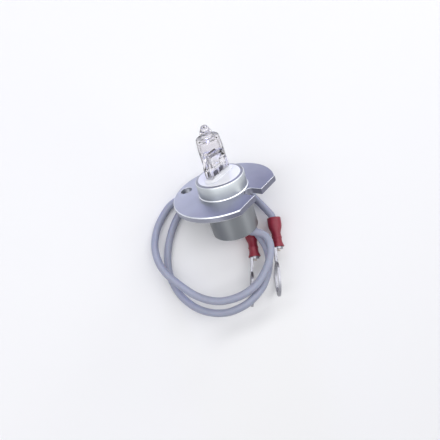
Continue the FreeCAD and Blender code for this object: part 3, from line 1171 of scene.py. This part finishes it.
@dataclass
class Terminal:
    """Ring terminal in its vinyl sleeve, crimped on a lead.

    It is modelled with its length along Z, its thickness on X and its height on Y.
    """

    side: Side
    lie: TerminalLie
    ring_radius: float = 6.7
    ring_hole_radius: float = 5.25
    plate: float = 0.9
    length: float = 30.4
    neck_width: float = 3.4
    neck_lap: float = 0.6
    neck_round: float = 1.6
    corner_width: float = 0.05
    corner_length: float = 0.2
    plate_edge: float = 0.16
    barrel_radius: float = 1.75
    barrel_start: float = 4.6
    barrel_end: float = 12.4
    core_radius: float = 0.75
    bore_ease: float = 1.1
    seam: float = 0.4
    crimp_start: float = 6.6
    crimp_end: float = 9.4
    crimp_half_thickness: float = 1.25
    crimp_half_height: float = 2.1
    sleeve_length: float = 11.6
    sleeve_radius: float = 2.7
    sleeve_wall: float = 0.7
    bell_wall: float = 0.4
    flare_half_thickness: float = 2.4
    flare_half_height: float = 2.75
    bell_length: float = 2.76
    bell_end: float = 4.14
    crimp_lead: float = 0.7
    ridge_half_width: float = 0.42
    waist: float = 0.2
    flare_start: float = 0.9
    nose_depth: float = 0.6
    ridge_height: float = 0.14
    lip: float = 0.15
    strip_depth: float = 3.6
    strand_show: float = 0.5
    strand_radius: float = 0.15
    strand_ragged: float = 0.25
    strand_facets: int = 10

    def node(self, kind: str) -> str:
        """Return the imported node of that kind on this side."""
        return f"{kind}_{self.side.value}"

    @property
    def ring_place(self) -> float:
        """How far along the ring's centre is."""
        return self.length - self.ring_radius

    @property
    def plate_offset(self) -> float:
        """How far the plate's middle is from the barrel's axis."""
        return self.barrel_radius - self.plate / 2

    def placement(self) -> Matrix:
        """Stand the ring on the bench.

        Returns:
            The placement of the terminal's frame, in metres.
        """
        turn = (
            Matrix.Rotation(math.radians(self.lie.heading), 3, "Z")
            @ Matrix.Rotation(-math.radians(self.lie.pitch), 3, "Y")
            @ Matrix.Rotation(math.radians(self.lie.lean), 3, "X"))
        upright = Matrix(((0, 0, 1), (1, 0, 0), (0, 1, 0)))
        turn = turn @ upright
        bend = self.tongue_turn().to_3x3()
        hinge = Vector((-self.plate_offset, 0, self.barrel_end))
        centre = hinge + bend @ Vector((0, 0, self.ring_place - self.barrel_end))
        tilt = abs((turn @ bend @ Vector((1, 0, 0))).z)
        rise = self.ring_radius * math.sqrt(1 - tilt ** 2) + self.plate / 2 * tilt
        place = Vector((*self.lie.entry, rise - (turn @ centre).z))
        return Matrix.Translation(place * MM) @ turn.to_4x4()

    def tongue_turn(self) -> Matrix:
        """Return the turn of the tongue, bent a little towards its own face."""
        return Matrix.Rotation(-math.radians(self.lie.tongue_bend), 4, "Y")

    def build(self, metal: Finish, vinyl: Finish, copper: Finish) -> list[bpy.types.Object]:
        """Build the lug, the sleeve and the strands, and lay them down.

        Args:
            metal: Tin plate of the lug.
            vinyl: The sleeve's finish.
            copper: The strands' finish.

        Returns:
            The three dressed pieces.
        """
        placement = self.placement()
        made = []
        for piece, finish, slot, node, angle in (
            (self.build_lug(), metal, "tinned_copper", "ring_terminal", 40),
            (self.build_sleeve(), vinyl, "sleeve_red", "terminal_sleeve", 50),
            (self.build_strands(), copper, "copper_strands", "strand_end", 60),
        ):
            lay(piece, placement)
            smooth(piece, angle)
            made.append(dress(piece, finish, slot, self.node(node)))
        return made

    def barrel_rings(self) -> list[tuple[float, float, float]]:
        """Return the barrel's rings, pressed flatter at the crimp."""
        round_half = self.barrel_radius
        flat_half = self.crimp_half_thickness
        tall_half = self.crimp_half_height
        lap = (self.crimp_start - self.barrel_start) / 3
        return [
            (round_half, round_half, self.barrel_start),
            (round_half, round_half, self.barrel_start + lap),
            (flat_half, tall_half, self.crimp_start),
            (flat_half, tall_half, self.crimp_end),
            (round_half, round_half, self.barrel_end - lap),
            (round_half, round_half, self.barrel_end),
        ]

    def build_lug(self) -> bpy.types.Object:
        """Stamp the ring and tongue, bend them, and join the rolled barrel.

        Returns:
            The lug, in millimetres.
        """
        disc = self.disc(self.ring_radius, self.plate)
        disc.name = self.node("ring_plate")
        start = self.barrel_end - self.neck_lap
        middle = (start + self.ring_place) / 2
        neck = add_block(
            (self.plate, self.neck_width, self.ring_place - start), (-self.plate_offset, 0, middle))
        combine(disc, neck, "UNION")
        combine(disc, self.disc(self.ring_hole_radius, 2 * self.plate), "DIFFERENCE")
        self.round_neck(disc)
        apply_modifier(
            disc, "BEVEL", width=self.plate_edge, segments=2, limit_method="ANGLE",
            angle_limit=math.radians(50))
        activate(disc)
        hinge = Matrix.Translation((-self.plate_offset, 0, self.barrel_end))
        disc.matrix_world = hinge @ self.tongue_turn() @ hinge.inverted()
        bpy.ops.object.transform_apply(location=True, rotation=True, scale=True)
        outer = self.barrel_rings()
        bore = self.core_radius * self.bore_ease
        inner = [(bore, bore, ring[2]) for ring in reversed(outer)]
        barrel = extrude_rings(self.node("barrel"), outer + inner, 48, closed=True)
        length = self.barrel_end - self.barrel_start
        seam = add_block(
            (2 * self.barrel_radius, self.seam, length + 2 * self.seam),
            (self.barrel_radius, 0, self.barrel_start + length / 2))
        combine(barrel, seam, "DIFFERENCE")
        combine(disc, barrel, "UNION")
        return disc

    def disc(self, radius: float, thickness: float) -> bpy.types.Object:
        """Add a disc at the ring's place, in the plane of the plate."""
        return add_rod(radius, thickness, (-self.plate_offset, 0, self.ring_place), 128, crosswise=True)

    def round_neck(self, disc: bpy.types.Object) -> None:
        """Round the two inside corners where the tongue meets the ring.

        Args:
            disc: The ring with its tongue, still flat.
        """
        near = self.ring_place - math.sqrt(self.ring_radius ** 2 - (self.neck_width / 2) ** 2)

        def corner_edge(middle: Vector, edge: bpy.types.MeshEdge) -> bool:
            """Tell whether an edge runs through the plate at one of those corners.

            Args:
                middle: The edge's middle.
                edge: The edge.

            Returns:
                Whether to round it.
            """
            ends = [disc.data.vertices[index].co for index in edge.vertices]
            through = abs(ends[0].x - ends[1].x) > self.plate / 2
            beside = abs(abs(middle.y) - self.neck_width / 2) < self.corner_width
            return through and beside and abs(middle.z - near) < self.corner_length

        select_where(disc, "EDGE", corner_edge)
        bpy.ops.mesh.bevel(offset=self.neck_round, segments=8, affect="EDGES", clamp_overlap=False)
        bpy.ops.object.mode_set(mode="OBJECT")

    def build_sleeve(self) -> bpy.types.Object:
        """Mould the sleeve: a bell, two crimp bands and a flared nose.

        Returns:
            The sleeve, in millimetres.
        """
        thick = self.crimp_half_thickness + self.sleeve_wall
        tall = self.crimp_half_height + self.sleeve_wall
        band = (self.crimp_end - self.crimp_start) / 2
        ridge = self.ridge_height
        body = self.sleeve_radius
        lip = self.lip
        nose = self.sleeve_length
        outside = [
            (body - lip, body - lip, 0.0),
            (body, body, lip),
            (body, body, self.bell_length),
            (body - lip, body, self.bell_end),
            (thick - ridge, tall - 2 * ridge, self.crimp_start - self.crimp_lead),
            (thick - ridge, tall - ridge, self.crimp_start),
            (thick - ridge, tall - ridge, self.crimp_start + band - self.ridge_half_width),
            (thick + ridge, tall + ridge, self.crimp_start + band),
            (thick - ridge, tall - ridge, self.crimp_start + band + self.ridge_half_width),
            (thick - ridge, tall - 2 * ridge, self.crimp_end + self.waist),
            (thick, tall - ridge, self.crimp_end + self.flare_start),
            (self.flare_half_thickness, self.flare_half_height, nose - lip),
            (self.flare_half_thickness, self.flare_half_height, nose),
        ]
        bell = body - self.bell_wall
        snug = self.barrel_radius
        inside = [
            (self.flare_half_thickness - lip, self.flare_half_height - lip, nose),
            (snug + lip, snug + 2 * lip, nose - self.nose_depth),
            (self.crimp_half_thickness, self.crimp_half_height, self.crimp_end),
            (self.crimp_half_thickness, self.crimp_half_height, self.crimp_start),
            (snug, snug, self.barrel_start + lip),
            (bell, bell, self.barrel_start),
            (bell, bell, lip),
            (bell + lip / 2, bell + lip / 2, 0.0),
        ]
        sleeve = extrude_rings(self.node("sleeve"), outside + inside, 32, closed=True)
        apply_modifier(sleeve, "SUBSURF", levels=2, render_levels=2)
        return sleeve

    def build_strands(self) -> bpy.types.Object:
        """Bundle the bare strands: one in the middle and two layers round it.

        Returns:
            The bundle, in millimetres.
        """
        length = self.barrel_end + self.strand_show - self.strip_depth
        middle = self.strip_depth + length / 2
        radius = self.strand_radius
        bundle = add_rod(radius, length, (0, 0, middle), self.strand_facets)
        bundle.name = self.node("strands")
        for layer in (1, 2):
            for index in range(6 * layer):
                angle = math.tau * index / (6 * layer)
                out = layer * (self.core_radius - radius) / 2
                uneven = self.strand_ragged * math.sin(5 * index + layer)
                place = (out * math.cos(angle), out * math.sin(angle), middle + uneven / 2)
                strand = add_rod(radius, length + uneven, place, self.strand_facets)
                activate(bundle)
                strand.select_set(True)
                bpy.ops.object.join()
        return bundle


@dataclass
class Lead:
    """One insulated lead, a single smooth curve from its splice to its crimp."""

    side: Side
    length: float
    start: list[tuple[float, float, float]]
    route: list[tuple[float, float, float]]
    diameter: float = 2.8

    def build(self, finish: Finish, terminal: list[bpy.types.Object]) -> bpy.types.Object:
        """Args:
            finish: The insulation.
            terminal: Pieces on the lead's far end; not used.

        Returns:
            The dressed lead.
        """
        curve = bpy.data.curves.new(f"lead_{self.side.value}_line", "CURVE")
        curve.dimensions = "3D"
        curve.resolution_u = 12
        curve.bevel_depth = self.diameter / 2 * MM
        curve.bevel_resolution = 6
        curve.use_fill_caps = True
        points = self.start + self.route
        line = curve.splines.new("NURBS")
        line.points.add(len(points) - 1)
        for point, place in zip(line.points, points):
            point.co = (*(Vector(place) * MM), 1)
        line.order_u = 3
        line.use_endpoint_u = True
        piece = bpy.data.objects.new(f"insulated_lead_{self.side.value}", curve)
        bpy.context.collection.objects.link(piece)
        dress(piece, finish, "lead_jacket", f"lead_{self.side.value}")
        return piece


RIGHT_TERMINAL = TerminalLie(entry=(15.8, -17.8), pitch=6.6, tongue_bend=4.0)
LEFT_TERMINAL = TerminalLie(entry=(5.8, -17.7), pitch=8.4, tongue_bend=8.0)

RIGHT_LEAD = Lead(
    Side.RIGHT,
    length=157.9,
    start=[(-1.31, -9.28, 12.38), (-1.31, -11.78, 10.72), (2.21, -18.1, 10.12)],
    route=[
        (8.3, -21.6, 12.0),
        (9.0, -26.2, 12.4),
        (6.2, -31.2, 13.4),
        (0.9, -35.6, 15.2),
        (-4.0, -37.9, 17.3),
        (-10.3, -38.9, 17.3),
        (-17.5, -37.9, 14.6),
        (-23.7, -33.6, 11.2),
        (-28.4, -26.4, 8.2),
        (-32.0, -19.1, 7.2),
        (-31.8, -11.0, 4.6),
        (-28.0, -4.0, 2.2),
        (-22.6, 0.8, 1.4),
        (-18.4, 3.3, 1.4),
        (-10.6, 3.9, 1.4),
        (-2.6, 3.4, 1.4),
        (5.4, 1.4, 1.4),
        (11.2, -4.0, 1.6),
        (13.5, -10.4, 2.6),
        (14.8, -14.2, 3.5),
        (15.8, -17.8, 4.2),
        (14.78, -21.23, 4.62),
    ],
)
LEFT_LEAD = Lead(
    Side.LEFT,
    length=152.3,
    start=[(1.31, -8.27, 10.85), (1.31, -10.77, 9.19), (4.8, -15.05, 7.7)],
    route=[
        (6.8, -21.7, 8.3),
        (7.8, -27.7, 8.3),
        (5.9, -33.9, 9.2),
        (0.5, -39.1, 12.6),
        (-4.5, -41.1, 15.9),
        (-9.5, -42.7, 15.7),
        (-16.3, -43.0, 12.6),
        (-22.8, -40.2, 9.0),
        (-27.6, -35.1, 5.2),
        (-30.2, -28.1, 2.2),
        (-30.0, -20.1, 1.4),
        (-26.7, -12.1, 1.4),
        (-21.5, -5.2, 1.4),
        (-16.6, -1.1, 1.4),
        (-12.2, 0.0, 1.4),
        (-5.0, -1.4, 1.4),
        (2.2, -2.4, 1.4),
        (7.4, -5.2, 1.4),
        (9.5, -9.8, 1.4),
        (8.6, -14.4, 2.2),
        (5.8, -17.7, 3.56),
        (4.79, -21.11, 4.08),
    ],
)


@dataclass(frozen=True)
class SoftLight:
    """One soft light: its place and length in metres, its power in watts and its colour.

    It is round, unless it has a breadth, which makes it a strip.
    """

    name: str
    place: tuple[float, float, float]
    length: float
    power: float
    colour: str = "#ffffff"
    breadth: float | None = None

    def hang(self) -> None:
        """Hang the light, aimed at the lamp."""
        light = bpy.data.lights.new(self.name, "AREA")
        light.shape = "RECTANGLE" if self.breadth else "DISK"
        light.size = self.length
        light.size_y = self.breadth or self.length
        light.energy = self.power
        light.color = linear(self.colour)[:3]
        hung = bpy.data.objects.new(self.name, light)
        hung.location = self.place
        hung.rotation_euler = (-Vector(self.place)).to_track_quat("-Z", "Y").to_euler()
        bpy.context.collection.objects.link(hung)


@dataclass
class Studio:
    """Pale bench, soft light and the camera where the photographer stood."""

    camera_place: tuple[float, float, float] = (-26.79, -18.39, 178.74)
    pan: float = -70.52
    tilt: float = 7.88
    roll: float = 47.34
    focal_length: float = 37.2
    near_clip: float = 0.005
    bench_size: float = 4.0
    bench_colour: str = "#f2f2f4"
    bench_roughness: float = 0.7
    backdrop_colour: str = "#f2f3f7"
    horizon: float = 0.75
    horizon_rise: float = 0.05
    zenith: float = 1.0
    zenith_rise: float = 0.75
    dimming: float = 0.22
    lamps: tuple[SoftLight, ...] = (
        SoftLight("overhead", (0.0, -0.02, 0.62), 2.4, 5.2, breadth=0.36),
        SoftLight("edge", (0.0, 0.4, 0.6), 1.6, 2.7, breadth=0.09),
        SoftLight("front", (0.12, 0.74, 0.1), 0.16, 1.6, "#b6bbff"),
        SoftLight("right", (0.58, 0.4, 0.22), 0.24, 0.65),
        SoftLight("back right", (0.5, -0.5, 0.2), 0.36, 0.4),
        SoftLight("back left", (-0.45, -0.5, 0.25), 0.3, 0.3),
    )

    def build(self) -> None:
        """Set up the bench, the lights, the world and the camera."""
        scene = bpy.context.scene
        scene.view_settings.view_transform = "Standard"
        self.add_bench()
        self.add_world(scene)
        for lamp in self.lamps:
            lamp.hang()
        self.add_camera(scene)

    def add_bench(self) -> None:
        """Lay a plain pale bench under the lamp."""
        deselect_all()
        bpy.ops.mesh.primitive_plane_add(size=self.bench_size)
        bench = bpy.context.object
        bench.name = "bench"
        paint = bpy.data.materials.new("bench_paint")
        paint.use_nodes = True
        shader = paint.node_tree.nodes["Principled BSDF"]
        shader.inputs["Base Color"].default_value = linear(self.bench_colour)
        shader.inputs["Roughness"].default_value = self.bench_roughness
        bench.data.materials.append(paint)

    def add_world(self, scene: bpy.types.Scene) -> None:
        """Surround the lamp with a pale backdrop, which lights it less than it is seen.

        Args:
            scene: The scene that takes the world.
        """
        world = bpy.data.worlds.new("studio")
        world.use_nodes = True
        tree = world.node_tree
        tree.nodes.clear()
        sky = add_node(tree, "ShaderNodeTexCoord")
        rise = add_node(tree, "ShaderNodeSeparateXYZ", {"Vector": sky.outputs["Generated"]})
        level = add_node(
            tree, "ShaderNodeMapRange",
            {"Value": rise.outputs["Z"], "From Min": self.horizon_rise, "From Max": self.zenith_rise,
             "To Min": self.horizon, "To Max": self.zenith})
        path = add_node(tree, "ShaderNodeLightPath")
        shown = path.outputs["Is Camera Ray"]
        for ray in ("Is Glossy Ray", "Is Transmission Ray"):
            either = add_node(tree, "ShaderNodeMath", {0: shown, 1: path.outputs[ray]}, operation="MAXIMUM")
            shown = either.outputs[0]
        share = add_node(
            tree, "ShaderNodeMapRange", {"Value": shown, "To Min": self.dimming, "To Max": 1.0})
        strength = add_node(
            tree, "ShaderNodeMath", {0: level.outputs["Result"], 1: share.outputs["Result"]},
            operation="MULTIPLY")
        backdrop = add_node(
            tree, "ShaderNodeBackground",
            {"Color": linear(self.backdrop_colour), "Strength": strength.outputs[0]})
        add_node(tree, "ShaderNodeOutputWorld", {"Surface": backdrop.outputs[0]})
        scene.world = world

    def add_camera(self, scene: bpy.types.Scene) -> None:
        """Put the camera where the photograph was taken from.

        Args:
            scene: The scene that takes the camera.
        """
        lens = bpy.data.cameras.new("camera")
        lens.lens = self.focal_length
        lens.clip_start = self.near_clip
        camera = bpy.data.objects.new("camera", lens)
        turn = (
            Matrix.Rotation(math.radians(self.pan), 4, "Z")
            @ Matrix.Rotation(math.radians(self.tilt), 4, "X")
            @ Matrix.Rotation(math.radians(self.roll), 4, "Z"))
        camera.matrix_world = Matrix.Translation(Vector(self.camera_place) * MM) @ turn
        bpy.context.collection.objects.link(camera)
        scene.camera = camera


def main() -> None:
    """Build every sub-assembly in order."""
    logging.basicConfig(level=logging.INFO, format="%(name)s: %(message)s")
    placement = lamp_placement()
    # A soft grey sheen that follows the turning, with painted highlights on its edges, painted shade
    # towards +X and on the rear boss, and a painted sheen on the front boss.
    aluminium = TurnedAluminium(
        "clear_anodised_aluminium", "#b2b5be", 0.42,
        origin=tuple(placement.translation), turning=tuple(placement.to_euler()),
        axis=tuple(placement.col[2][:3]))
    # The whitest thing on the lamp, quite dull.
    ceramic = FiredCeramic("fired_steatite", "#f2f3f8", 0.5)
    # As white as the ceramic, but lumpy and without any shine.
    cement = FiredCeramic("capsule_cement_dry", "#f2f3f8", 0.6, grain_mm=0.4, grain_depth_mm=0.02)
    # Seen mostly by its painted dark rims, its highlights and what it bends.
    quartz = QuartzGlass("fused_quartz", "#f1eff1", 0.02)
    # A dark, slightly warm thread of metal.
    tungsten = DrawnMetal("tungsten_wire", "#6d6a6b", 0.35)
    # Dark bluish strips under the glass.
    molybdenum = DrawnMetal("molybdenum_foil", "#66666f", 0.4)
    # Bright, blurred reflections that dull to grey away from the light.
    tin = DrawnMetal("tin_plate", "#9c9ca3", 0.38)
    # Fine light wires, a little warmer than the tin.
    copper = DrawnMetal("tinned_strands", "#c9c2bd", 0.3)
    # A deep crimson that a satin skin lightens along its ridges.
    vinyl = SoftPolymer("dipped_vinyl", "#98293e", 0.45, shade="#7a182d")
    # A bluish grey with a broad, soft highlight along each lead.
    rubber = SoftPolymer("silicone_rubber", "#a0a4b8", 0.42, shade="#9498ad")

    Holder().build(placement, aluminium)
    CeramicBase().build(placement, ceramic, cement)
    Capsule().build(placement, quartz)
    Burner().build(placement, tungsten)
    for lead, lie in ((RIGHT_LEAD, RIGHT_TERMINAL), (LEFT_LEAD, LEFT_TERMINAL)):
        pieces = Terminal(lead.side, lie).build(tin, vinyl, copper)
        lead.build(rubber, pieces)
        side = lead.side.value
        dress_node(f"filament_leg_{side}", tungsten)
        dress_node(f"seal_foil_{side}", molybdenum)
        dress_node(f"contact_pin_{side}", molybdenum)
        dress_node(f"splice_tube_{side}", tin)
        dress_node(f"bare_root_{side}", copper)
    dress_node("cement_plug", cement)
    Studio().build()


if __name__ == "__main__":
    main()
